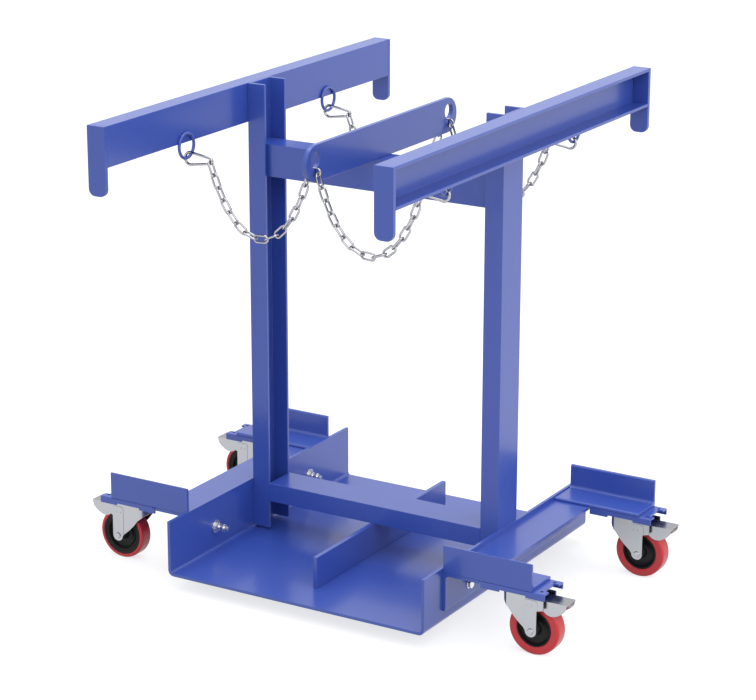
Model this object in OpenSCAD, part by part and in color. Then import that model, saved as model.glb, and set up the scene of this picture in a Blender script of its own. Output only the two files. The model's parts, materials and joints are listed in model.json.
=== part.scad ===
// Gas cylinder trolley: an upright frame on a low tray, carried by four braked casters.
// X runs across the trolley, Y runs along the two top rails, Z is up, the floor is Z = 0.
// All sizes are millimetres.

/* [Frame] */
// Distance between the outer faces of the two post webs
post_span = 734; // [600:2:900]
// Height of the rail tops above the floor
frame_height = 1242; // [900:0.5:1600]
// Length of each top rail with its end plates
rail_length = 1306; // [900:2:1600]
// Height of the channel that the posts and rails are made of
channel_h = 100; // [80:1:140]
// Flange width of that channel
channel_w = 50; // [40:1:70]
// Web thickness of that channel
web_t = 6; // [4:0.5:10]
// Flange thickness of that channel
flange_t = 8; // [5:0.5:12]
// Thickness of the rail end plates
end_plate_t = 12; // [6:1:20]
// Height of the rail end plates
end_plate_h = 170; // [110:5:220]
// Corner radius at the bottom of the end plates
end_plate_r = 18; // [5:1:24]

/* [Cross members] */
// Depth of the upper cross member along the rails
upper_w = 70; // [50:1:80]
// Height of the upper cross member
upper_h = 84; // [60:1:110]
// Distance from the rail tops down to the top of the upper cross member
upper_drop = 154; // [120:1:240]
// Height of the lower cross member
lower_h = 50; // [40:1:80]
// Wall of both cross members
box_wall = 4; // [3:0.5:8]

/* [Chain plate] */
// Overall length of the plate that carries the chains
chain_plate_length = 724; // [600:2:900]
// Height of the chain plate
chain_plate_h = 91; // [60:1:110]
// Thickness of the chain plate
chain_plate_t = 12; // [8:1:16]
// Radius of the two round holes of the chain plate
chain_hole_r = 20; // [16:0.5:22]
// Height of the hole centres above the foot of the plate
chain_hole_z = 56; // [52:0.5:60]
// Width of the slot below each hole
chain_slot_w = 7.5; // [6.5:0.5:9]
// Height of the bottom of each slot above the foot of the plate
chain_slot_z = 14.5; // [12:0.5:20]

/* [Tray] */
// Length of the tray along the rails
tray_length = 860; // [780:2:1100]
// Plate thickness of the tray
tray_t = 8; // [5:0.5:10]
// Outside bend radius of the tray
tray_bend = 16; // [12:1:24]
// Height of the tray walls from the underside
tray_wall = 146; // [110:1:200]
// Length of the upright plate between the left and right cylinders
divider_length = 650; // [500:2:760]
// Thickness of that plate
divider_t = 12; // [8:1:16]
// Distance from the tray underside to the underside of the lower cross member
divider_top = 91; // [60:1:120]

/* [Side angles and caster brackets] */
// Leg length of the side angles
angle_leg = 100; // [70:1:120]
// Thickness of the side angles
angle_t = 8; // [5:0.5:12]
// Length of the side angles
angle_length = 682; // [600:2:760]
// Distance from the tray underside to the top of the side angles
angle_top = 135; // [110:1:160]
// Reach of the caster brackets from the tray wall
bracket_reach = 241; // [180:1:280]
// Width of a caster bracket
bracket_w = 100; // [90:1:120]
// Height of the upstand of a caster bracket
bracket_h = 70; // [50:1:100]
// Thickness of a caster bracket
bracket_t = 8; // [5:0.5:12]
// Distance of the tray bolts from the middle of the trolley
tray_bolt_y = 226; // [150:1:300]
// Height of the tray bolts above the underside of the tray
tray_bolt_h = 68; // [55:1:90]
// Radius of the tray bolts
tray_bolt_r = 6; // [4:0.5:8]

/* [Casters] */
// Wheel diameter
wheel_d = 134; // [110:1:160]
// Wheel width
wheel_w = 40; // [30:1:44]
// Distance of the swivel axes from the tray walls
caster_out = 189; // [150:1:220]
// Horizontal distance from the swivel axis to the axle
caster_trail = 44; // [30:1:50]
// Radius of the wheel axle
axle_r = 6; // [5:0.5:8]
// Radius of the kingpin
kingpin_r = 8; // [6:0.5:10]
// Length of the caster plate
plate_l = 172; // [150:1:190]
// Sheet thickness of the caster plate
plate_t = 5; // [3:0.5:8]
// Distance between the outer faces of the fork legs
fork_w = 70; // [64:1:80]
// Sheet thickness of the fork
fork_t = 4; // [3:0.5:5]
// Radius of the round fork crown
crown_r = 42; // [38:1:44]
// Width of the brake pedal
pedal_w = 48; // [46:1:54]
// Radial clearance of every running fit
run_gap = 0.05; // [0.02:0.01:0.1]

/* [Chains and hooks] */
// Wire of the chain links
link_wire = 5.5; // [4:0.1:6]
// Pitch of the chain
link_pitch = 32.4; // [30:0.2:36]
// Overall width of a chain link
link_width = 22.5; // [20:0.5:24]
// Number of links from the chain plate to each hook
link_count = 15; // [13:2:17]
// Wire radius of the chain rings on the rails
ring_wire_r = 4; // [3:0.5:5]
// Radius of a chain ring to the middle of its wire
ring_r = 31; // [26:1:36]
// Distance of the ring centres below the rail tops
ring_drop = 107; // [104:1:112]
// Distance of the ring centres from the middle, along the rail
ring_y = 326; // [300:1:360]
// Wire radius of a snap hook
hook_wire_r = 3.5; // [3:0.25:4]
// Radius of the wide end of a snap hook, to the middle of its wire
hook_wide_r = 15.5; // [14:0.5:18]
// Radius of the narrow end of a snap hook, to the middle of its wire
hook_narrow_r = 7; // [6.5:0.25:8]
// Distance between the centres of the two hook ends
hook_length = 57; // [50:1:70]

/* [Hidden] */
$fn = 64;
blue = [0.29, 0.36, 0.66];
steel = [0.72, 0.73, 0.75];
red = [0.75, 0.2, 0.22];
black = [0.1, 0.1, 0.1];

wheel_r = wheel_d / 2;
// The axle sits 28 mm above the underside of the tray.
deck = wheel_r - 28;
post_x = post_span / 2;
tray_x = post_x + tray_t;
upper_top = frame_height - upper_drop;
rail_bottom = frame_height - channel_h;
plate_end_y = chain_plate_length / 2 - chain_plate_h / 2;
lower_bottom = deck + divider_top;
angle_z = deck + angle_top;
caster_y = angle_length / 2 - bracket_w / 2;
bolt_z = deck + tray_bolt_h;
caster_x = tray_x + caster_out;
washer_t = 3;
washer_r = 3 * tray_bolt_r;
head_r = 1.6 * tray_bolt_r / cos(30);
nut_t = 10;
lock_nut_t = 6;
lock_nut_gap = 9;
bolt_end = 25;

// Caster heights, from the floor.
plate_z = angle_z - plate_t;
skirt_h = 12.5;
crown_gap = 9.5;
crown_top = plate_z - crown_gap;
crown_under = crown_top - 5;
collar_h = 8;
collar_r = kingpin_r + 6;
race_r = 30;
leg_in = fork_w / 2 - fork_t;
neck_x = crown_r + 4;
strap_h = 1;
pedal_top = crown_top - 12.5;
pedal_end = caster_trail + 89;

// The brake pedal turns on stub pins in blind holes, which leave a skin on the fork's outer faces.
pivot_x = caster_trail + 18;
pivot_z = crown_top - 26;
pivot_r = 4;
pivot_skin = 1;
// Length of the cuts that pass right through a caster part.
far = 2 * plate_l;

// Wheel core: hub, disc and rim, with a wider lip on one side.
hub_r = 16;
hub_half = leg_in - 0.5;
disc_half = 4;
rim_r = wheel_r - 23;
seat_r = wheel_r - 14;
lip_r = wheel_r - 9.5;
lip_w = 6;

// Chain geometry in the vertical plane of each chain, right half, x outward.
wire_r = link_wire / 2;
bend_r = (link_width - link_wire) / 2;
link_gap = 0.15;
touch_r = wire_r + link_gap;
chain_y = plate_end_y + 4.5;
centre_z = upper_top + chain_slot_z + 0.05 + bend_r + wire_r;
centre_half = link_pitch / 2 + wire_r;
start_dir = [cos(72), -sin(72)];
end_dir = [cos(68), sin(68)];

// The back of each ring is flattened where it is welded to the rail web.
ring_flat = 0.4;
ring_x = post_x - ring_wire_r + ring_flat;
ring_z = frame_height - ring_drop;
ring_off = ring_y - chain_y;
ring_low = ring_z - sqrt(ring_r * ring_r - ring_off * ring_off);
hook_in = hook_wide_r - hook_wire_r;
hook_off = hook_in - ring_wire_r * ring_r / sqrt(ring_r * ring_r - ring_off * ring_off) - 0.3;
hook_x = ring_x - hook_off * cos(10);
hook_z = ring_low - hook_off * sin(10);
narrow_x = hook_x - hook_length;
hook_tilt = acos((hook_wide_r - hook_narrow_r) / hook_length);
hook_side = hook_length * sin(hook_tilt);
narrow_slack = hook_narrow_r - hook_wire_r - wire_r - link_gap;

// Gate of a snap hook: a flat tongue on the frame sits in the gate's slot, on one pin.
side_r = hook_wire_r - 0.1;
gate_r = hook_wire_r - 0.4;
hook_lap = 0.8;
gate_at = 7;
gate_root = 2;
gate_stub = 6;
gate_pin_r = 1.5;
tongue_t = 2.9;

// Each run hangs from the lower corner of the middle link, which stands upright in the slot.
start_wire = [centre_half - bend_r, centre_z] + bend_r * start_dir;
end_wire = [narrow_x, hook_z] - narrow_slack * end_dir;
path_a = start_wire - touch_r * start_dir;
path_b = end_wire - touch_r * end_dir;
path_l = link_count * link_pitch;
path_h = path_b[0] - path_a[0];
path_v = path_b[1] - path_a[1];

function sh(x) = (exp(x) - exp(-x)) / 2;
function ash(x) = ln(x + sqrt(x * x + 1));
function ath(x) = ln((1 + x) / (1 - x)) / 2;
// Size of the hanging curve that has the chain's own length, found by halving.
function curve(lo, hi, n) = n == 0 ? (lo + hi) / 2 :
    2 * (lo + hi) / 2 * sh(path_h / (lo + hi)) > sqrt(path_l * path_l - path_v * path_v) ?
    curve((lo + hi) / 2, hi, n - 1) : curve(lo, (lo + hi) / 2, n - 1);
curve_a = curve(20, 2000, 40);
curve_x = (path_a[0] + path_b[0]) / 2 - curve_a * ath(path_v / path_l);
curve_s = curve_a * sh((path_a[0] - curve_x) / curve_a);
curve_z = path_a[1] - sqrt(curve_a * curve_a + curve_s * curve_s);
function hang(s) = [curve_x + curve_a * ash(s / curve_a), curve_z + sqrt(curve_a * curve_a + s * s)];
function knot(i) = hang(curve_s + i * link_pitch);
function unit(v) = v / norm(v);
// Direction of the contact between links i and i + 1: that of the upright link of the two.
function lean(i) = i == 0 ? start_dir : i == link_count ? end_dir :
    i % 2 == 0 ? unit(knot(i) - knot(i - 1)) : unit(knot(i + 1) - knot(i));

module left_side() {
    mirror([1, 0, 0]) children();
}

module both_sides() {
    children();
    mirror([1, 0, 0]) children();
}

module both_ends() {
    children();
    mirror([0, 1, 0]) children();
}

module four_corners() {
    both_sides() both_ends() children();
}

// Casters on the left are the right-hand ones turned half way round.
module at_caster(sx, sy) {
    translate([sx * caster_x, sy * caster_y, 0]) rotate([0, 0, sx > 0 ? 0 : 180]) children();
}

module at_chain(sx, sy) {
    translate([0, sy * chain_y, 0]) mirror([sx > 0 ? 0 : 1, 0, 0]) children();
}

// Channel section, open towards +X, standing on its own Y width.
module channel_section() {
    difference() {
        square([channel_w, channel_h]);
        translate([web_t, flange_t]) square([channel_w, channel_h - 2 * flange_t]);
    }
}

module box_section(w, h) {
    difference() {
        square([w, h], center = true);
        square([w - 2 * box_wall, h - 2 * box_wall], center = true);
    }
}

// The posts end where the tray wall starts to bend.
module right_post() {
    foot = deck + tray_bend;
    color(blue)
    translate([post_x, -channel_h / 2, foot])
    linear_extrude(frame_height - foot)
    mirror([1, 0])
    channel_section();
}

module left_post() {
    left_side() right_post();
}

module right_rail() {
    long = rail_length - 2 * end_plate_t;
    color(blue)
    translate([post_x, long / 2, rail_bottom])
    rotate([90, 0, 0])
    linear_extrude(long)
    channel_section();
}

module left_rail() {
    left_side() right_rail();
}

module end_plate_shape() {
    difference() {
        square([channel_w, end_plate_h]);
        square([end_plate_r, end_plate_r]);
        translate([channel_w - end_plate_r, 0]) square([end_plate_r, end_plate_r]);
    }
    translate([end_plate_r, end_plate_r]) circle(end_plate_r);
    translate([channel_w - end_plate_r, end_plate_r]) circle(end_plate_r);
}

module rail_end_plates() {
    color(blue)
    four_corners()
    translate([post_x, rail_length / 2, frame_height - end_plate_h])
    rotate([90, 0, 0])
    linear_extrude(end_plate_t)
    end_plate_shape();
}

module upper_cross_member() {
    long = post_span - 2 * web_t;
    color(blue)
    translate([-long / 2, 0, upper_top - upper_h / 2])
    rotate([90, 0, 90])
    linear_extrude(long)
    box_section(upper_w, upper_h);
}

module lower_cross_member() {
    long = post_span - 2 * channel_w;
    color(blue)
    translate([-long / 2, 0, lower_bottom + lower_h / 2])
    rotate([90, 0, 90])
    linear_extrude(long)
    box_section(channel_h, lower_h);
}

// Round hole with a narrow slot below it, which holds one link upright.
module keyhole() {
    slot_r = chain_slot_w / 2;
    translate([0, chain_hole_z]) circle(chain_hole_r);
    translate([-slot_r, chain_slot_z + slot_r]) square([chain_slot_w, chain_hole_z - chain_slot_z - slot_r]);
    translate([0, chain_slot_z + slot_r]) circle(slot_r);
}

module chain_plate() {
    end_r = chain_plate_h / 2;
    color(blue)
    translate([-chain_plate_t / 2, 0, upper_top + end_r])
    rotate([90, 0, 90])
    linear_extrude(chain_plate_t)
    difference() {
        union() {
            square([2 * plate_end_y, chain_plate_h], center = true);
            translate([-plate_end_y, 0]) circle(end_r);
            translate([plate_end_y, 0]) circle(end_r);
        }
        for (y = [-chain_y, chain_y]) translate([y, -end_r]) keyhole();
    }
}

module tray_shape(half, bend) {
    translate([-half + bend, 0]) square([2 * (half - bend), tray_wall]);
    translate([-half, bend]) square([2 * half, tray_wall - bend]);
    translate([-half + bend, bend]) circle(bend);
    translate([half - bend, bend]) circle(bend);
}

module base_tray() {
    color(blue)
    difference() {
        translate([0, tray_length / 2, deck])
        rotate([90, 0, 0])
        linear_extrude(tray_length)
        difference() {
            tray_shape(tray_x, tray_bend);
            translate([0, tray_t]) tray_shape(tray_x - tray_t, tray_bend - tray_t);
        }
        tray_bolt_holes();
    }
}

module tray_bolt_holes() {
    four_corners()
    translate([post_x - 5, tray_bolt_y, bolt_z])
    rotate([0, 90, 0])
    cylinder(h = tray_t + angle_t + 10, r = tray_bolt_r);
}

module tray_divider() {
    color(blue)
    translate([-divider_t / 2, -divider_length / 2, deck + tray_t])
    cube([divider_t, divider_length, divider_top - tray_t]);
}

// Angle with its heel at the origin, one leg along +X and one along -Y, and a rounded root.
module angle_shape(leg_x, leg_y, t, root) {
    difference() {
        translate([0, -leg_y]) square([leg_x, leg_y]);
        translate([t, -leg_y - 1]) square([leg_x, leg_y + 1 - t]);
    }
    difference() {
        translate([t, -t - root]) square([root, root]);
        translate([t + root, -t - root]) circle(root);
    }
}

module right_side_angle() {
    color(blue)
    difference() {
        translate([tray_x, angle_length / 2, angle_z])
        rotate([90, 0, 0])
        linear_extrude(angle_length)
        angle_shape(angle_leg, angle_leg, angle_t, 10);
        tray_bolt_holes();
    }
}

module left_side_angle() {
    left_side() right_side_angle();
}

module caster_brackets() {
    color(blue)
    four_corners()
    translate([tray_x, angle_length / 2, angle_z])
    mirror([0, 1, 0])
    rotate([90, 0, 90])
    linear_extrude(bracket_reach)
    mirror([0, 1])
    angle_shape(bracket_w, bracket_h, bracket_t, 8);
}

module chain_rings() {
    color(blue)
    four_corners()
    difference() {
        translate([ring_x, ring_y, ring_z])
        rotate([0, 90, 0])
        rotate_extrude()
        translate([ring_r, 0])
        circle(ring_wire_r, $fn = 32);
        translate([post_x, ring_y - 2 * ring_r, ring_z - 2 * ring_r])
        cube([10, 4 * ring_r, 4 * ring_r]);
    }
}

// Each tray bolt has a small washer under its head, and a wide washer and two nuts inside the tray.
module tray_bolts() {
    grip = angle_t + tray_t + 2 * washer_t + nut_t + bolt_end;
    color(steel)
    four_corners()
    translate([tray_x + angle_t + washer_t, tray_bolt_y, bolt_z])
    rotate([0, 90, 0]) {
        cylinder(h = 1.25 * tray_bolt_r, r = head_r, $fn = 6);
        translate([0, 0, -grip]) cylinder(h = grip, r = tray_bolt_r);
    }
}

module washer_ring(h, r) {
    difference() {
        cylinder(h = h, r = r);
        translate([0, 0, -1]) cylinder(h = h + 2, r = tray_bolt_r);
    }
}

module tray_washers() {
    color(steel)
    four_corners()
    translate([0, tray_bolt_y, bolt_z])
    rotate([0, 90, 0]) {
        translate([0, 0, post_x - washer_t]) washer_ring(washer_t, washer_r);
        translate([0, 0, tray_x + angle_t]) washer_ring(washer_t, 2 * tray_bolt_r);
    }
}

module nut_ring(h) {
    difference() {
        cylinder(h = h, r = head_r, $fn = 6);
        translate([0, 0, -1]) cylinder(h = h + 2, r = tray_bolt_r);
    }
}

module tray_nuts() {
    nut_end = post_x - washer_t - nut_t;
    color(steel)
    four_corners()
    translate([0, tray_bolt_y, bolt_z])
    rotate([0, 90, 0]) {
        translate([0, 0, nut_end]) nut_ring(nut_t);
        translate([0, 0, nut_end - lock_nut_gap - lock_nut_t]) nut_ring(lock_nut_t);
    }
}

// Caster parts are drawn with the swivel axis on Z and the wheel towards +X.
module caster_plate_body() {
    half = bracket_w / 2;
    deep = 50;
    step = 5;
    notch = [13, 54];
    ear_hole = [15, 33, 4.5];
    color(blue)
    difference() {
        union() {
            translate([-plate_l / 2, -half, plate_z]) cube([plate_l, bracket_w, plate_t]);
            both_ends() translate([-plate_l / 2, half - plate_t, plate_z - skirt_h]) {
                cube([deep, plate_t, skirt_h]);
                translate([plate_l - deep, 0, 0]) cube([deep, plate_t, skirt_h]);
                translate([0, 0, step]) cube([plate_l, plate_t, skirt_h - step]);
            }
        }
        translate([0, 0, plate_z - 1]) cylinder(h = plate_t + 2, r = kingpin_r);
        translate([plate_l / 2 - notch[0], -notch[1] / 2, plate_z - 1])
            cube([notch[0] + 1, notch[1], plate_t + 2]);
        both_ends() translate([plate_l / 2 - ear_hole[0], ear_hole[1], plate_z - 1])
            cylinder(h = plate_t + 2, r = ear_hole[2]);
    }
}

// Each kingpin is held by the plate, and its two collars carry the fork crown between them.
module kingpins() {
    foot = crown_under - collar_h;
    color(steel)
    for (sx = [-1, 1], sy = [-1, 1]) at_caster(sx, sy) {
        translate([0, 0, foot]) cylinder(h = plate_z + plate_t - foot, r = kingpin_r);
        translate([0, 0, foot]) cylinder(h = collar_h - 2 * run_gap, r = collar_r);
        translate([0, 0, crown_top + 2 * run_gap]) cylinder(h = crown_gap - 2 * run_gap, r = race_r);
    }
}

// Side view of the fork: a gusset falls from the drum to the axle, and a strap carries the axle.
module fork_outline() {
    strap = 15;
    arm_end = caster_trail + 32;
    arm_low = crown_top - 34;
    arm_top = crown_top - 6;
    drum_low = crown_top - 23;
    polygon([
        [-crown_r, crown_top], [-crown_r, drum_low], [-18, drum_low - 20],
        [-8, drum_low - 33.5], [caster_trail - 37, wheel_r + 20.5], [caster_trail - 20, wheel_r + 6],
        [caster_trail - strap, wheel_r], [caster_trail + strap, wheel_r],
        [caster_trail + strap, arm_low - 4.5], [arm_end, arm_low],
        [arm_end, arm_top], [neck_x, arm_top], [crown_r, crown_top]
    ]);
    translate([caster_trail, wheel_r]) circle(strap);
}

// The strap stands a little proud of the leg, with round corners at its top.
module strap_outline() {
    reach = 18;
    top = crown_top - 12;
    round_r = 7;
    intersection() {
        fork_outline();
        union() {
            translate([caster_trail - reach, 0]) square([2 * reach - 1, top - round_r]);
            translate([caster_trail - reach + round_r, 0]) square([2 * (reach - round_r) - 1, top]);
            for (x = [caster_trail - reach + round_r, caster_trail + reach - round_r - 1])
                translate([x, top - round_r]) circle(round_r);
        }
    }
}

module fork_body() {
    strap_w = fork_w + 2 * strap_h;
    color(steel)
    difference() {
        union() {
            intersection() {
                translate([0, fork_w / 2, 0]) rotate([90, 0, 0]) linear_extrude(fork_w) fork_outline();
                union() {
                    cylinder(h = crown_top + 1, r = crown_r);
                    translate([0, -fork_w / 2, 0]) cube([far, fork_w, crown_top + 1]);
                }
            }
            both_ends() translate([0, strap_w / 2, 0]) rotate([90, 0, 0])
                linear_extrude(strap_h + fork_t / 2) strap_outline();
        }
        intersection() {
            translate([-far / 2, -leg_in, 0]) cube([far, 2 * leg_in, crown_under]);
            union() {
                cylinder(h = crown_under, r = crown_r - fork_t);
                translate([0, -leg_in, 0]) cube([far, 2 * leg_in, crown_under]);
            }
        }
        translate([neck_x, -leg_in, 0]) cube([far, 2 * leg_in, crown_top + 1]);
        translate([0, 0, crown_under - 1]) cylinder(h = crown_gap, r = kingpin_r + run_gap);
        translate([caster_trail, far / 2, wheel_r]) rotate([90, 0, 0]) cylinder(h = far, r = axle_r);
        translate([pivot_x, fork_w / 2 - pivot_skin, pivot_z]) rotate([90, 0, 0])
            cylinder(h = fork_w - 2 * pivot_skin, r = pivot_r + run_gap);
    }
}

// Riveted axle with a low round head on each side of the fork.
module axle_body() {
    grip = fork_w + 2 * strap_h;
    head_r = axle_r + 2;
    head_h = 3;
    taper = 1.5;
    color(steel)
    translate([caster_trail, grip / 2, wheel_r])
    rotate([90, 0, 0]) {
        translate([0, 0, -1]) cylinder(h = grip + 2, r = axle_r);
        translate([0, 0, -head_h]) cylinder(h = head_h, r1 = head_r - taper, r2 = head_r);
        translate([0, 0, grip]) cylinder(h = head_h, r1 = head_r, r2 = head_r - taper);
    }
}

// Half section of the wheel core, radius along X, width along Y.
module core_section() {
    half = wheel_w / 2;
    bore = axle_r + run_gap;
    translate([bore, -hub_half]) square([hub_r - bore, 2 * hub_half]);
    translate([hub_r - 1, -disc_half]) square([rim_r - hub_r + 2, 2 * disc_half]);
    translate([rim_r, -half]) square([5, 2 * half]);
    translate([rim_r, lip_w - half]) square([seat_r - rim_r, 2 * half - lip_w]);
    translate([rim_r, half - lip_w]) square([lip_r - rim_r, lip_w]);
}

module wheel_body() {
    color(black)
    translate([caster_trail, 0, wheel_r])
    rotate([-90, 0, 0])
    rotate_extrude($fn = 96)
    core_section();
}

module tyre_body() {
    half = wheel_w / 2;
    edge = 5;
    inner = rim_r + 4;
    color(red)
    translate([caster_trail, 0, wheel_r])
    rotate([-90, 0, 0])
    rotate_extrude($fn = 96)
    difference() {
        union() {
            translate([inner, -half]) square([wheel_r - edge - inner, 2 * half]);
            translate([wheel_r - edge - 1, edge - half]) square([edge + 1, 2 * (half - edge)]);
            translate([wheel_r - edge, edge - half]) circle(edge);
            translate([wheel_r - edge, half - edge]) circle(edge);
        }
        core_section();
    }
}

module pedal_side() {
    polygon([
        [pivot_x - 8, pedal_top], [pivot_x - 8, pivot_z - 6], [pivot_x + 9, pedal_top - 26.5],
        [pivot_x + 18, pedal_top - 33.5], [pivot_x + 28, pedal_top - 36.5],
        [pivot_x + 37, pedal_top - 36], [pivot_x + 47, pedal_top - 32],
        [pivot_x + 58, pedal_top - 25], [pivot_x + 67, pedal_top - 16],
        [pivot_x + 69, pedal_top - 8], [pedal_end, pedal_top]
    ]);
}

module brake_pedal_body() {
    half = pedal_w / 2;
    skirt_t = 2.5;
    top_t = 3;
    shoe = [16, pedal_w - 4, 28];
    shoe_x = pivot_x + 14;
    shoe_gap = 6;
    color(steel) {
        difference() {
            translate([0, half, 0]) rotate([90, 0, 0]) linear_extrude(pedal_w) pedal_side();
            translate([0, skirt_t - half, 0]) cube([far, pedal_w - 2 * skirt_t, pedal_top - top_t]);
        }
        both_ends() translate([pivot_x, half - 1, pivot_z]) rotate([-90, 0, 0])
            cylinder(h = fork_w / 2 - half + 1 - pivot_skin - run_gap, r = pivot_r);
        difference() {
            translate([shoe_x, -shoe[1] / 2, pedal_top - 2 - shoe[2]]) cube(shoe);
            translate([caster_trail, far / 2, wheel_r]) rotate([90, 0, 0])
                cylinder(h = far, r = wheel_r + shoe_gap);
        }
    }
}

// A link between two wire centres in the XZ plane; turn = 90 lays it across.
module chain_link(a, b, turn) {
    d = b - a;
    long = norm(d);
    translate([a[0], 0, a[1]])
    rotate([0, -atan2(d[1], d[0]), 0])
    rotate([90 + turn, 0, 0]) {
        translate([bend_r, 0, 0]) rotate([0, 0, 90])
            rotate_extrude(angle = 180, $fn = 48) translate([bend_r, 0]) circle(wire_r, $fn = 32);
        translate([long - bend_r, 0, 0]) rotate([0, 0, -90])
            rotate_extrude(angle = 180, $fn = 48) translate([bend_r, 0]) circle(wire_r, $fn = 32);
        for (s = [-1, 1])
            translate([bend_r, s * bend_r, 0]) rotate([0, 90, 0])
                cylinder(h = long - 2 * bend_r, r = wire_r, $fn = 32);
    }
}

module chain_body() {
    color(steel)
    for (i = [1 : link_count])
        chain_link(knot(i - 1) - touch_r * lean(i - 1), knot(i) + touch_r * lean(i),
            i % 2 == 0 ? 0 : 90);
}

module chain_centre_links() {
    color(steel)
    for (sy = [-1, 1])
        translate([0, sy * chain_y, 0])
        chain_link([-centre_half, centre_z], [centre_half, centre_z], 0);
}

// Frame of a snap hook: origin at the wide end, +X towards the narrow end.
module at_hook() {
    translate([hook_x, 0, hook_z]) mirror([1, 0, 0]) rotate([90, 0, 0]) children();
}

// Frame along the gate side of the hook: origin at the narrow end, +X towards the wide end.
module at_gate() {
    translate([hook_length + hook_narrow_r * cos(hook_tilt), -hook_narrow_r * sin(hook_tilt), 0])
        rotate([0, 0, 180 + 90 - hook_tilt]) children();
}

module hook_body() {
    wide = 3 * hook_wire_r;
    color(steel)
    at_hook() {
        rotate([0, 0, hook_tilt]) rotate_extrude(angle = 360 - 2 * hook_tilt)
            translate([hook_wide_r, 0]) circle(hook_wire_r, $fn = 32);
        translate([hook_length, 0, 0]) rotate([0, 0, -hook_tilt])
            rotate_extrude(angle = 2 * hook_tilt)
            translate([hook_narrow_r, 0]) circle(hook_wire_r, $fn = 32);
        mirror([0, 1, 0]) at_gate() translate([-hook_lap, 0, 0]) rotate([0, 90, 0])
            cylinder(h = hook_side + 2 * hook_lap, r = side_r, $fn = 32);
        at_gate() {
            translate([hook_side - gate_stub, 0, 0]) rotate([0, 90, 0])
                cylinder(h = gate_stub + hook_lap, r = side_r, $fn = 32);
            difference() {
                intersection() {
                    translate([-hook_lap, 0, 0]) rotate([0, 90, 0])
                        cylinder(h = gate_at + hook_wire_r + hook_lap, r = side_r, $fn = 32);
                    union() {
                        translate([-gate_root, -wide / 2, -wide / 2]) cube([2 * gate_root, wide, wide]);
                        translate([0, -wide / 2, -tongue_t / 2]) cube([gate_at, wide, tongue_t]);
                        translate([gate_at, 0, -tongue_t / 2]) cylinder(h = tongue_t, r = side_r, $fn = 32);
                    }
                }
                translate([gate_at, 0, -wide / 2]) cylinder(h = wide, r = gate_pin_r, $fn = 32);
            }
        }
    }
}

module hook_gate_body() {
    end_gap = 0.4;
    pin_half = 2.5;
    slot = [2 * hook_wire_r + 1.5, 3 * hook_wire_r, tongue_t + 0.3];
    color(steel)
    at_hook()
    at_gate()
    translate([gate_at, 0, 0]) {
        difference() {
            union() {
                rotate([0, 90, 0])
                    cylinder(h = hook_side - gate_at - gate_stub - end_gap, r = gate_r, $fn = 32);
                translate([0, 0, -gate_r]) cylinder(h = 2 * gate_r, r = gate_r, $fn = 32);
            }
            translate([-hook_wire_r - 0.5, -slot[1] / 2, -slot[2] / 2]) cube(slot);
        }
        translate([0, 0, -pin_half]) cylinder(h = 2 * pin_half, r = gate_pin_r - run_gap, $fn = 32);
    }
}

base_tray();
tray_divider();
left_post();
right_post();
left_rail();
right_rail();
rail_end_plates();
upper_cross_member();
lower_cross_member();
chain_plate();
left_side_angle();
right_side_angle();
caster_brackets();
chain_rings();
tray_bolts();
tray_nuts();
tray_washers();
chain_centre_links();
kingpins();
at_caster(-1, -1) caster_plate_body();  // caster_plate_front_left
at_caster(1, -1) caster_plate_body();  // caster_plate_front_right
at_caster(-1, 1) caster_plate_body();  // caster_plate_back_left
at_caster(1, 1) caster_plate_body();  // caster_plate_back_right
at_caster(-1, -1) fork_body();  // fork_front_left
at_caster(1, -1) fork_body();  // fork_front_right
at_caster(-1, 1) fork_body();  // fork_back_left
at_caster(1, 1) fork_body();  // fork_back_right
at_caster(-1, -1) axle_body();  // axle_front_left
at_caster(1, -1) axle_body();  // axle_front_right
at_caster(-1, 1) axle_body();  // axle_back_left
at_caster(1, 1) axle_body();  // axle_back_right
at_caster(-1, -1) wheel_body();  // wheel_front_left
at_caster(1, -1) wheel_body();  // wheel_front_right
at_caster(-1, 1) wheel_body();  // wheel_back_left
at_caster(1, 1) wheel_body();  // wheel_back_right
at_caster(-1, -1) tyre_body();  // tyre_front_left
at_caster(1, -1) tyre_body();  // tyre_front_right
at_caster(-1, 1) tyre_body();  // tyre_back_left
at_caster(1, 1) tyre_body();  // tyre_back_right
at_caster(-1, -1) brake_pedal_body();  // brake_pedal_front_left
at_caster(1, -1) brake_pedal_body();  // brake_pedal_front_right
at_caster(-1, 1) brake_pedal_body();  // brake_pedal_back_left
at_caster(1, 1) brake_pedal_body();  // brake_pedal_back_right
at_chain(-1, -1) chain_body();  // chain_front_left
at_chain(1, -1) chain_body();  // chain_front_right
at_chain(-1, 1) chain_body();  // chain_back_left
at_chain(1, 1) chain_body();  // chain_back_right
at_chain(-1, -1) hook_body();  // hook_front_left
at_chain(1, -1) hook_body();  // hook_front_right
at_chain(-1, 1) hook_body();  // hook_back_left
at_chain(1, 1) hook_body();  // hook_back_right
at_chain(-1, -1) hook_gate_body();  // hook_gate_front_left
at_chain(1, -1) hook_gate_body();  // hook_gate_front_right
at_chain(-1, 1) hook_gate_body();  // hook_gate_back_left
at_chain(1, 1) hook_gate_body();  // hook_gate_back_right
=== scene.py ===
import json
import math

import bmesh
import bpy
from mathutils import Matrix, Vector


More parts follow.
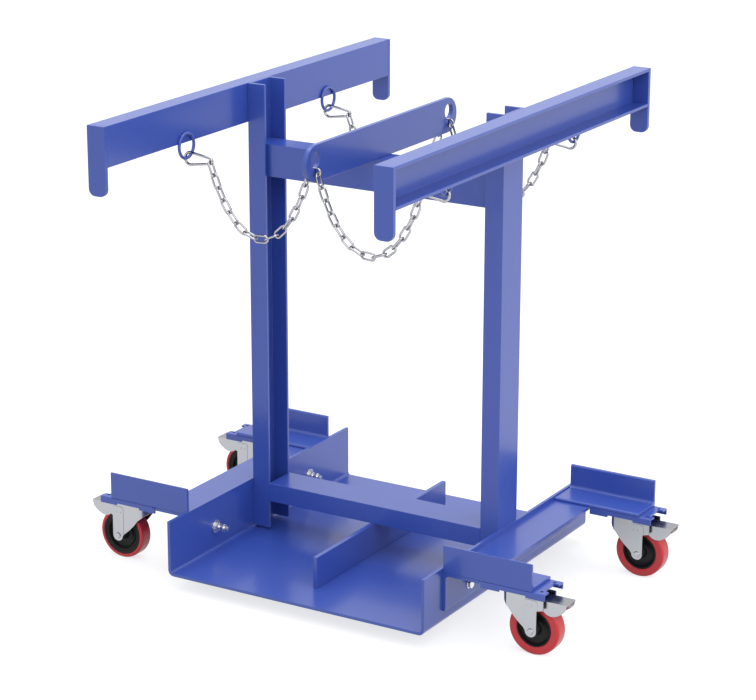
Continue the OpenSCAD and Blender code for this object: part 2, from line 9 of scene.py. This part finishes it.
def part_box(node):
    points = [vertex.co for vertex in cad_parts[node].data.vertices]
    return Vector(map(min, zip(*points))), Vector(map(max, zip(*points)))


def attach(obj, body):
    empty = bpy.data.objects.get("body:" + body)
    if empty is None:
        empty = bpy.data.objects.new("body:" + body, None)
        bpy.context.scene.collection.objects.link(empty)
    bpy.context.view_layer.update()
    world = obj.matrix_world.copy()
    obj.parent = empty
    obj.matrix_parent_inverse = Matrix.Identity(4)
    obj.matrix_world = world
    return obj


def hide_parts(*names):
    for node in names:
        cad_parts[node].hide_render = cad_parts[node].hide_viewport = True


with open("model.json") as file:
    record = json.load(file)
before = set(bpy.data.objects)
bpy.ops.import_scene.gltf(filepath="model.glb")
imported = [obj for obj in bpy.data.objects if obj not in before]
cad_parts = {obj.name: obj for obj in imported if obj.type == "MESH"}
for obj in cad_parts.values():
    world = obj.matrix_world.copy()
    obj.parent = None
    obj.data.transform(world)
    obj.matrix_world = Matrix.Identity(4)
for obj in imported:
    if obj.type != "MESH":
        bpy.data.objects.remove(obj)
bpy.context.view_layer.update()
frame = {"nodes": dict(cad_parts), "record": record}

# The underside of the tray, from which the photo was measured
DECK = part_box("base_tray")[0].z

# Camera
CAMERA_PLACE = (3.2649, -5.4637, DECK + 2.5239)
CAMERA_AZIMUTH = 31.27
CAMERA_ELEVATION = 18.19
CAMERA_LENS = 125.0
CAMERA_SHIFT = (0.0179, 0.0561)

# Light
SKY = 1.0
SKY_COLOUR = (0.97, 0.98, 1, 1)
FLOOR_GLOW = 0.72
FLOOR_GREY = (0.38, 0.38, 0.39, 1)
FLOOR_SIZE = 60
FLOOR_DROP = 0.0005

# Colours, linear
WHITE = (1, 1, 1, 1)
PAINT_BLUE = (0.034, 0.075, 0.37)
ZINC = (0.43, 0.44, 0.46)
CHROME = (0.44, 0.44, 0.46)
BOLT_ZINC = (0.80, 0.79, 0.76)
DARK_RIM = (0.06, 0.06, 0.07, 1)
SOFT_RIM = (0.75, 0.75, 0.76, 1)
CORE_BLACK = (0.008, 0.008, 0.009)
TYRE_RED = (0.52, 0.018, 0.024)

# Rounded edges, in metres
PAINT_EDGE = 0.0012
METAL_EDGE = 0.0005
TOE_ROUND = 0.005
FOLD_ROUND = 0.0042
NEAR = 1e-4
ALONG = 0.9

# Sheets of the angles
ANGLE_T = 0.008
BRACKET_W = 0.100

# Casters, in metres, each in its own frame: swivel axis on Z, wheel towards +X
CASTER_X = 0.564
CASTER_Y = 0.291
AXLE_X = 0.044
AXLE_Z = DECK + 0.028
LEG_FACE = 0.036
HUB_R = 0.019
DRAWN_R = 0.0635

# Rivet heads on the fork: distance from the swivel axis and radius, then height over the axle
RIVETS = ((0.0465, 0.0021), (0.0340, 0.0017))
RIVET_RISE = 0.065
RIVET_SINK = 0.0002
RIVET_BORE = 0.0001

FASTENERS = ("tray_bolts", "tray_nuts", "tray_washers")
CORNERS = {
    "front_left": (-1, -1),
    "front_right": (1, -1),
    "back_left": (-1, 1),
    "back_right": (1, 1),
}


def shader(name, colour, roughness, **sockets):
    """A plain principled material. Further sockets are named with underscores."""
    mat = bpy.data.materials.new(name)
    mat.use_nodes = True
    bsdf = mat.node_tree.nodes["Principled BSDF"]
    bsdf.inputs["Base Color"].default_value = (*colour, 1)
    bsdf.inputs["Roughness"].default_value = roughness
    for key, value in sockets.items():
        bsdf.inputs[key.replace("_", " ")].default_value = value
    return mat


def noise_bump(mat, scale, strength, distance=0.0005):
    """Adds a fine noise bump to a principled material."""
    tree = mat.node_tree
    coords = tree.nodes.new("ShaderNodeTexCoord")
    noise = tree.nodes.new("ShaderNodeTexNoise")
    noise.inputs["Scale"].default_value = scale
    bump = tree.nodes.new("ShaderNodeBump")
    bump.inputs["Strength"].default_value = strength
    bump.inputs["Distance"].default_value = distance
    tree.links.new(coords.outputs["Object"], noise.inputs["Vector"])
    tree.links.new(noise.outputs["Fac"], bump.inputs["Height"])
    tree.links.new(bump.outputs["Normal"], tree.nodes["Principled BSDF"].inputs["Normal"])
    return mat


PAINT = noise_bump(shader("blue_paint", PAINT_BLUE, 0.35, Coat_Weight=0.4, Coat_Roughness=0.16), 60, 0.03)
BRIGHT = shader("bright_zinc", CHROME, 0.13, Metallic=1.0, Specular_Tint=DARK_RIM)
PLATED = shader("bolt_zinc", BOLT_ZINC, 0.22, Metallic=1.0)
SATIN = noise_bump(shader("caster_zinc", ZINC, 0.24, Metallic=1.0, Specular_Tint=SOFT_RIM), 220, 0.05)
CORE = shader("wheel_core", CORE_BLACK, 0.42, Specular_IOR_Level=0.22)
TYRE = shader("tyre_red", TYRE_RED, 0.36, Coat_Weight=0.12, Coat_Roughness=0.2)

SLOTS = {
    "blue_paint": PAINT,
    "zinc_steel": BRIGHT,
    "caster_zinc": SATIN,
    "wheel_core": CORE,
    "tyre_red": TYRE,
}


def join_faces(obj):
    """The CAD faces come unjoined and in triangles. Joined and plain, their edges can be rounded."""
    join = obj.modifiers.new("join", "WELD")
    join.merge_threshold = 1e-6
    plain = obj.modifiers.new("plain", "DECIMATE")
    plain.decimate_type = "DISSOLVE"
    plain.angle_limit = math.radians(0.4)


def smooth(obj, angle=35):
    """Smooth faces, with sharp edges above an angle."""
    obj.data.shade_smooth()
    obj.data.set_sharp_from_angle(angle=math.radians(angle))


def soften(obj, width, angle=35):
    """Smooth faces, and a small bevel on the edges above an angle."""
    smooth(obj, angle)
    if not obj.modifiers:
        join_faces(obj)
    bevel = obj.modifiers.new("edge", "BEVEL")
    bevel.width = width
    bevel.segments = 2
    bevel.limit_method = "ANGLE"
    bevel.angle_limit = math.radians(angle)
    flat = obj.modifiers.new("flat", "WEIGHTED_NORMAL")
    flat.mode = "FACE_AREA"
    flat.weight = 90
    flat.keep_sharp = True


def round_edges(node, wanted, width):
    """A wider round on the edges that wanted(middle, direction) picks, before the small bevel."""
    mesh = node.data
    weights = mesh.attributes.new("bevel_weight_edge", "FLOAT", "EDGE")
    for edge in mesh.edges:
        a, b = (mesh.vertices[v].co for v in edge.vertices)
        if wanted((a + b) / 2, (b - a).normalized()):
            weights.data[edge.index].value = 1
    join_faces(node)
    bevel = node.modifiers.new("round", "BEVEL")
    bevel.width = width
    bevel.segments = 4
    bevel.limit_method = "WEIGHT"


def round_side_angle(node):
    """The lower toe of a side angle, on its outer face."""
    low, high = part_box(node.name)
    face = min(abs(low.x), abs(high.x)) + ANGLE_T

    def toe(middle, way):
        return abs(way.y) > ALONG and abs(middle.z - low.z) < NEAR and abs(abs(middle.x) - face) < NEAR

    round_edges(node, toe, TOE_ROUND)


def round_brackets(node):
    """Both toes of each caster bracket: the upright leg's and the flat leg's."""
    low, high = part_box(node.name)

    def toe(middle, way):
        y = abs(middle.y)
        upright = abs(middle.z - high.z) < NEAR and abs(y - high.y + ANGLE_T) < NEAR
        lying = abs(middle.z - low.z - ANGLE_T) < NEAR and abs(y - high.y + BRACKET_W) < NEAR
        return abs(way.x) > ALONG and (upright or lying)

    round_edges(node, toe, TOE_ROUND)


def round_caster_plate(node):
    """The two long folds of a caster plate."""
    low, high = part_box(node.name)

    def fold(middle, way):
        side = min(abs(middle.y - low.y), abs(middle.y - high.y))
        return abs(way.x) > ALONG and abs(middle.z - high.z) < NEAR and side < NEAR

    round_edges(node, fold, FOLD_ROUND)


def round_sheet_edges():
    round_side_angle(frame["nodes"]["left_side_angle"])
    round_side_angle(frame["nodes"]["right_side_angle"])
    round_brackets(frame["nodes"]["caster_brackets"])
    for corner in CORNERS:
        round_caster_plate(frame["nodes"]["caster_plate_" + corner])


def dress_nodes():
    """Gives every CAD node its material, soft edges and smooth round faces."""
    for part in frame["record"]["subparts"]:
        name = part["node"]
        slot = part["material_slot"]
        node = frame["nodes"][name]
        node.data.materials.clear()
        node.data.materials.append(PLATED if name in FASTENERS else SLOTS[slot])
        if name.startswith(("chain", "hook", "tyre", "wheel")) and name != "chain_plate":
            smooth(node)
        else:
            soften(node, PAINT_EDGE if slot == "blue_paint" else METAL_EDGE)


def new_mesh(name, verts, faces, mat):
    """A closed mesh whose faces all look outwards."""
    mesh = bpy.data.meshes.new(name)
    mesh.from_pydata(verts, [], faces)
    bm = bmesh.new()
    bm.from_mesh(mesh)
    bmesh.ops.recalc_face_normals(bm, faces=bm.faces)
    bm.to_mesh(mesh)
    bm.free()
    obj = bpy.data.objects.new(name, mesh)
    bpy.context.scene.collection.objects.link(obj)
    mesh.materials.append(mat)
    return obj


def corner_matrix(corner):
    """From a caster's own frame, wheel towards +X, to the trolley's frame."""
    sx, sy = CORNERS[corner]
    turn = Matrix.Rotation(0 if sx > 0 else math.pi, 4, "Z")
    return Matrix.Translation((sx * CASTER_X, sy * CASTER_Y, 0)) @ turn


def at_corner(obj, corner, body):
    """Moves a piece from its caster's frame to the trolley's, and names its body."""
    obj.data.transform(corner_matrix(corner))
    obj.data.update()
    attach(obj, body + "_" + corner)


def lathe(name, profile, mat, steps=96):
    """A closed profile of (radius, y) points turned about the caster's axle."""
    n = len(profile)
    verts = []
    for k in range(steps):
        a = 2 * math.pi * k / steps
        verts += [(AXLE_X + r * math.cos(a), y, AXLE_Z + r * math.sin(a)) for r, y in profile]
    faces = []
    for k in range(steps):
        m = (k + 1) % steps
        faces += [(k * n + i, k * n + (i + 1) % n, m * n + (i + 1) % n, m * n + i) for i in range(n)]
    return new_mesh(name, verts, faces, mat)


def arc(cx, cz, r, a0, a1, steps):
    """Points of an arc, angles in degrees."""
    angles = [math.radians(a0 + (a1 - a0) * k / steps) for k in range(steps + 1)]
    return [(cx + r * math.cos(a), cz + r * math.sin(a)) for a in angles]


def scaled(profile):
    """From the drawn wheel radius to the real one. The hub keeps its size."""
    grow = (AXLE_Z - HUB_R) / (DRAWN_R - HUB_R)
    return [(r if r < HUB_R else HUB_R + (r - HUB_R) * grow, y) for r, y in profile]


def core_profile():
    """Radius and y of the wheel core: a stepped face with rings at +y, a plain dish at -y."""
    front = [(0.0061, 0.0302), (0.0105, 0.0302), (0.0115, 0.0296), (0.0152, 0.0290), (0.0160, 0.0282),
             (0.0166, 0.0100), (0.0185, 0.0078), (0.0280, 0.0074), (0.0300, 0.0086), (0.0325, 0.0110),
             (0.0345, 0.0114), (0.0360, 0.0100), (0.0372, 0.0084), (0.0392, 0.0088), (0.0410, 0.0145),
             (0.0425, 0.0172), (0.0440, 0.0180), (0.0455, 0.0176), (0.0464, 0.0166), (0.0474, 0.0170),
             (0.0484, 0.0190), (0.0500, 0.0199), (0.0528, 0.0199), (0.0538, 0.0190), (0.0540, 0.0165)]
    back = [(0.0505, 0.0145), (0.0503, -0.0125), (0.0470, -0.0138), (0.0440, -0.0150), (0.0438, -0.0190),
            (0.0430, -0.0198), (0.0412, -0.0198), (0.0402, -0.0185), (0.0385, -0.0125), (0.0350, -0.0092),
            (0.0300, -0.0080), (0.0220, -0.0080), (0.0185, -0.0086), (0.0168, -0.0110), (0.0160, -0.0282),
            (0.0152, -0.0290), (0.0115, -0.0296), (0.0105, -0.0302), (0.0061, -0.0302)]
    return front + back


def tyre_profile():
    """Radius and y of the tyre: round shoulders, a thin lip inwards at -y."""
    crown = [(0.0542, 0.0165), (0.0543, 0.0190), (0.0552, 0.0199), (0.0575, 0.0199)]
    crown += arc(0.0575, 0.0139, 0.0060, 90, 8, 6)
    crown += [(0.0635, 0.0100), (0.0635, -0.0100)]
    crown += arc(0.0575, -0.0139, 0.0060, -8, -90, 6)
    return crown + [(0.0465, -0.0199), (0.0449, -0.0195), (0.0441, -0.0182), (0.0442, -0.0152),
                    (0.0472, -0.0140), (0.0505, -0.0127), (0.0507, 0.0143)]


def make_wheel(corner):
    """The turned core and tyre that take the place of the plain ones."""
    core = lathe("core_" + corner, scaled(core_profile()), CORE)
    smooth(core, 50)
    at_corner(core, corner, "wheel")
    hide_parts("wheel_" + corner)
    tyre = lathe("tread_" + corner, scaled(tyre_profile()), TYRE)
    smooth(tyre, 50)
    at_corner(tyre, corner, "wheel")
    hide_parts("tyre_" + corner)


def make_fork_marks(corner):
    """Two small rivet heads near the top of each fork strap."""
    to_axle = Matrix.Translation((AXLE_X, 0, AXLE_Z))
    for side in (-1, 1):
        flip = to_axle @ Matrix.Scale(side, 4, (0, 1, 0)) @ to_axle.inverted()
        for x, r in RIVETS:
            dome = [(RIVET_BORE, 0.0010), (r * 0.5, 0.0009), (r * 0.85, 0.0005)]
            dome += [(r, -RIVET_SINK), (RIVET_BORE, -RIVET_SINK)]
            rivet = lathe("rivet_%s_%d_%d" % (corner, side > 0, x == RIVETS[0][0]), dome, SATIN, 24)
            shift = Matrix.Translation((x - AXLE_X, side * LEG_FACE, RIVET_RISE))
            rivet.data.transform(shift @ flip)
            at_corner(rivet, corner, "caster")
            smooth(rivet, 60)


def make_camera():
    """The photo's view, which was solved from the object's corners."""
    data = bpy.data.cameras.new("camera")
    data.lens = CAMERA_LENS
    data.shift_x, data.shift_y = CAMERA_SHIFT
    camera = bpy.data.objects.new("camera", data)
    camera.location = CAMERA_PLACE
    camera.rotation_euler = (math.radians(90 - CAMERA_ELEVATION), 0, math.radians(CAMERA_AZIMUTH))
    bpy.context.scene.collection.objects.link(camera)
    bpy.context.scene.camera = camera


def area_light(name, place, target, size, power):
    data = bpy.data.lights.new(name, "AREA")
    data.shape = "DISK"
    data.size = size
    data.energy = power
    lamp = bpy.data.objects.new(name, data)
    lamp.location = place
    lamp.rotation_euler = (Vector(target) - Vector(place)).to_track_quat("-Z", "Y").to_euler()
    bpy.context.scene.collection.objects.link(lamp)


def seen_rays(tree):
    """1 for camera, glossy and transmission rays, so that metal shows the white background too."""
    path = tree.nodes.new("ShaderNodeLightPath")
    last = path.outputs["Is Camera Ray"]
    for ray in ("Is Glossy Ray", "Is Transmission Ray"):
        both = tree.nodes.new("ShaderNodeMath")
        both.operation = "MAXIMUM"
        tree.links.new(last, both.inputs[0])
        tree.links.new(path.outputs[ray], both.inputs[1])
        last = both.outputs[0]
    return last


def make_world():
    """White where it is seen, a soft even light on the object."""
    world = bpy.data.worlds.new("studio")
    bpy.context.scene.world = world
    world.use_nodes = True
    tree = world.node_tree
    tree.nodes.clear()
    out = tree.nodes.new("ShaderNodeOutputWorld")
    mix = tree.nodes.new("ShaderNodeMixShader")
    light = tree.nodes.new("ShaderNodeBackground")
    light.inputs["Color"].default_value = SKY_COLOUR
    light.inputs["Strength"].default_value = SKY
    seen = tree.nodes.new("ShaderNodeBackground")
    seen.inputs["Color"].default_value = WHITE
    seen.inputs["Strength"].default_value = 1.0
    tree.links.new(seen_rays(tree), mix.inputs["Fac"])
    tree.links.new(light.outputs[0], mix.inputs[1])
    tree.links.new(seen.outputs[0], mix.inputs[2])
    tree.links.new(mix.outputs[0], out.inputs["Surface"])


def make_floor():
    """A pale floor that keeps the trolley's soft shadow and is white where it is seen."""
    bpy.ops.mesh.primitive_plane_add(size=FLOOR_SIZE, location=(0, 0, -FLOOR_DROP))
    floor = bpy.context.object
    floor.name = "floor"
    mat = bpy.data.materials.new("floor")
    mat.use_nodes = True
    tree = mat.node_tree
    tree.nodes.clear()
    out = tree.nodes.new("ShaderNodeOutputMaterial")
    add = tree.nodes.new("ShaderNodeAddShader")
    diffuse = tree.nodes.new("ShaderNodeBsdfDiffuse")
    diffuse.inputs["Color"].default_value = FLOOR_GREY
    glow = tree.nodes.new("ShaderNodeEmission")
    scale = tree.nodes.new("ShaderNodeMath")
    scale.operation = "MULTIPLY"
    scale.inputs[1].default_value = FLOOR_GLOW
    tree.links.new(seen_rays(tree), scale.inputs[0])
    tree.links.new(scale.outputs[0], glow.inputs["Strength"])
    tree.links.new(diffuse.outputs[0], add.inputs[0])
    tree.links.new(glow.outputs[0], add.inputs[1])
    tree.links.new(add.outputs[0], out.inputs["Surface"])
    floor.data.materials.append(mat)


round_sheet_edges()
dress_nodes()
for corner in CORNERS:
    make_wheel(corner)
    make_fork_marks(corner)
make_camera()
make_world()
make_floor()
area_light("key", (2.6, -3.2, 4.6), (0, 0, 0.6), 4.0, 80)
area_light("side", (4.6, 0.6, 2.2), (0, 0, 0.6), 3.6, 60)
area_light("top", (-0.5, 0.5, 5.0), (0, 0, 0.5), 4.0, 95)
bpy.context.scene.view_settings.view_transform = "Standard"
